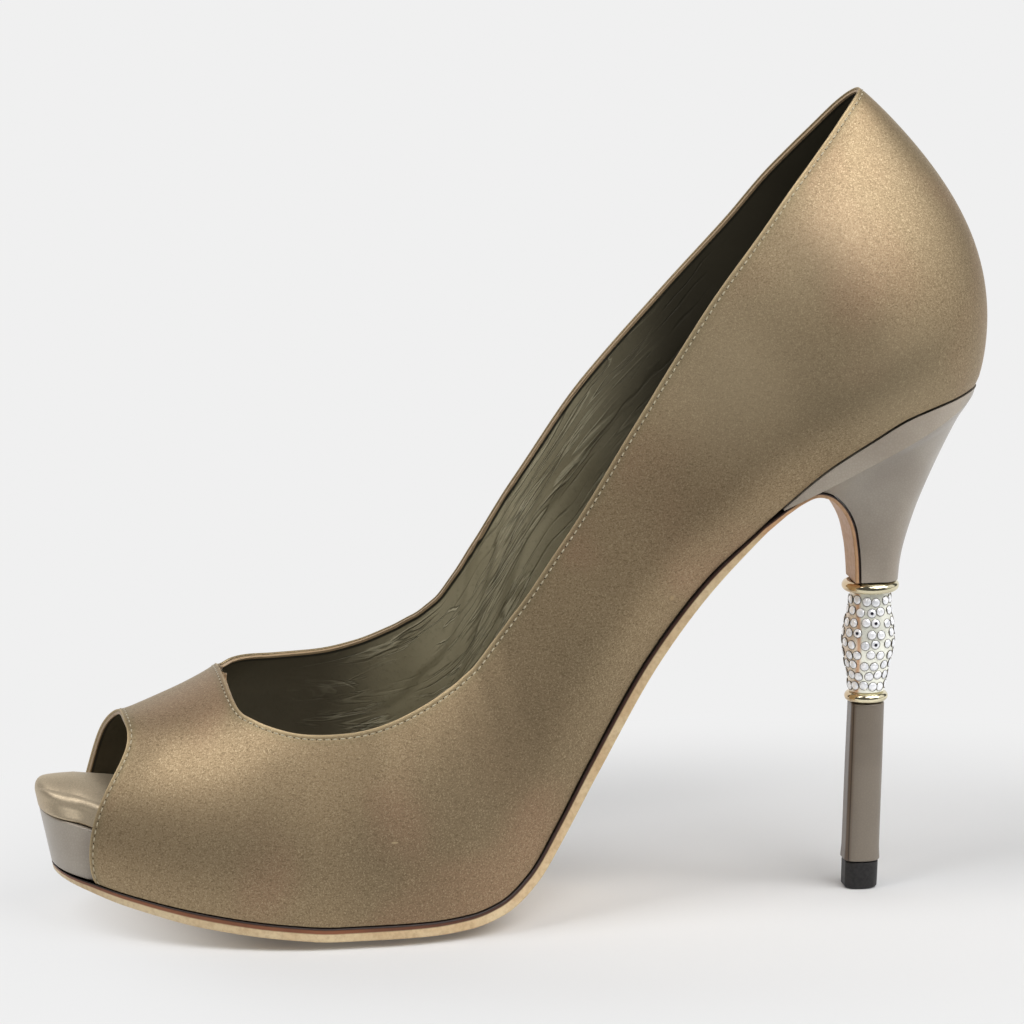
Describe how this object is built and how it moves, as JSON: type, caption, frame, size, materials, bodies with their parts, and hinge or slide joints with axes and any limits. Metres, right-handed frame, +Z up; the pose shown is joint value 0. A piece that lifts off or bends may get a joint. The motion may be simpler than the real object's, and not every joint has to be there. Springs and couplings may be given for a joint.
{
  "type": "peep toe pump",
  "caption": "Left women's satin peep toe platform pump with a high slim heel: gold rings and a crystal-set sleeve break up the covered heel.",
  "frame": {"origin": "on the floor, under the middle of the forefoot tread", "axes": "+X from toe to heel, +Y to the inner side of the foot, +Z up"},
  "size_m": [0.2207, 0.0754, 0.189],
  "materials": {
    "upper": "duchess satin over a leather lining",
    "insole": "olive-grey leather sock, toe edge wrapped in satin",
    "platform": "smooth covered leather",
    "outsole": "sole leather with dark dyed edge",
    "heel_block": "smooth covered leather",
    "ring_top": "polished gold plate",
    "jewel_sleeve": "pale gold plate set with clear crystals",
    "ring_bottom": "polished gold plate",
    "heel_stem": "smooth covered leather",
    "top_piece": "matte hard rubber"
  },
  "bodies": {
    "root": {"upper": "upper", "insole": "insole", "platform": "platform", "outsole": "outsole", "heel_block": "heel_block", "ring_top": "ring_top", "jewel_sleeve": "jewel_sleeve", "ring_bottom": "ring_bottom", "heel_stem": "heel_stem", "top_piece": "top_piece"}
  },
  "joints": []
}
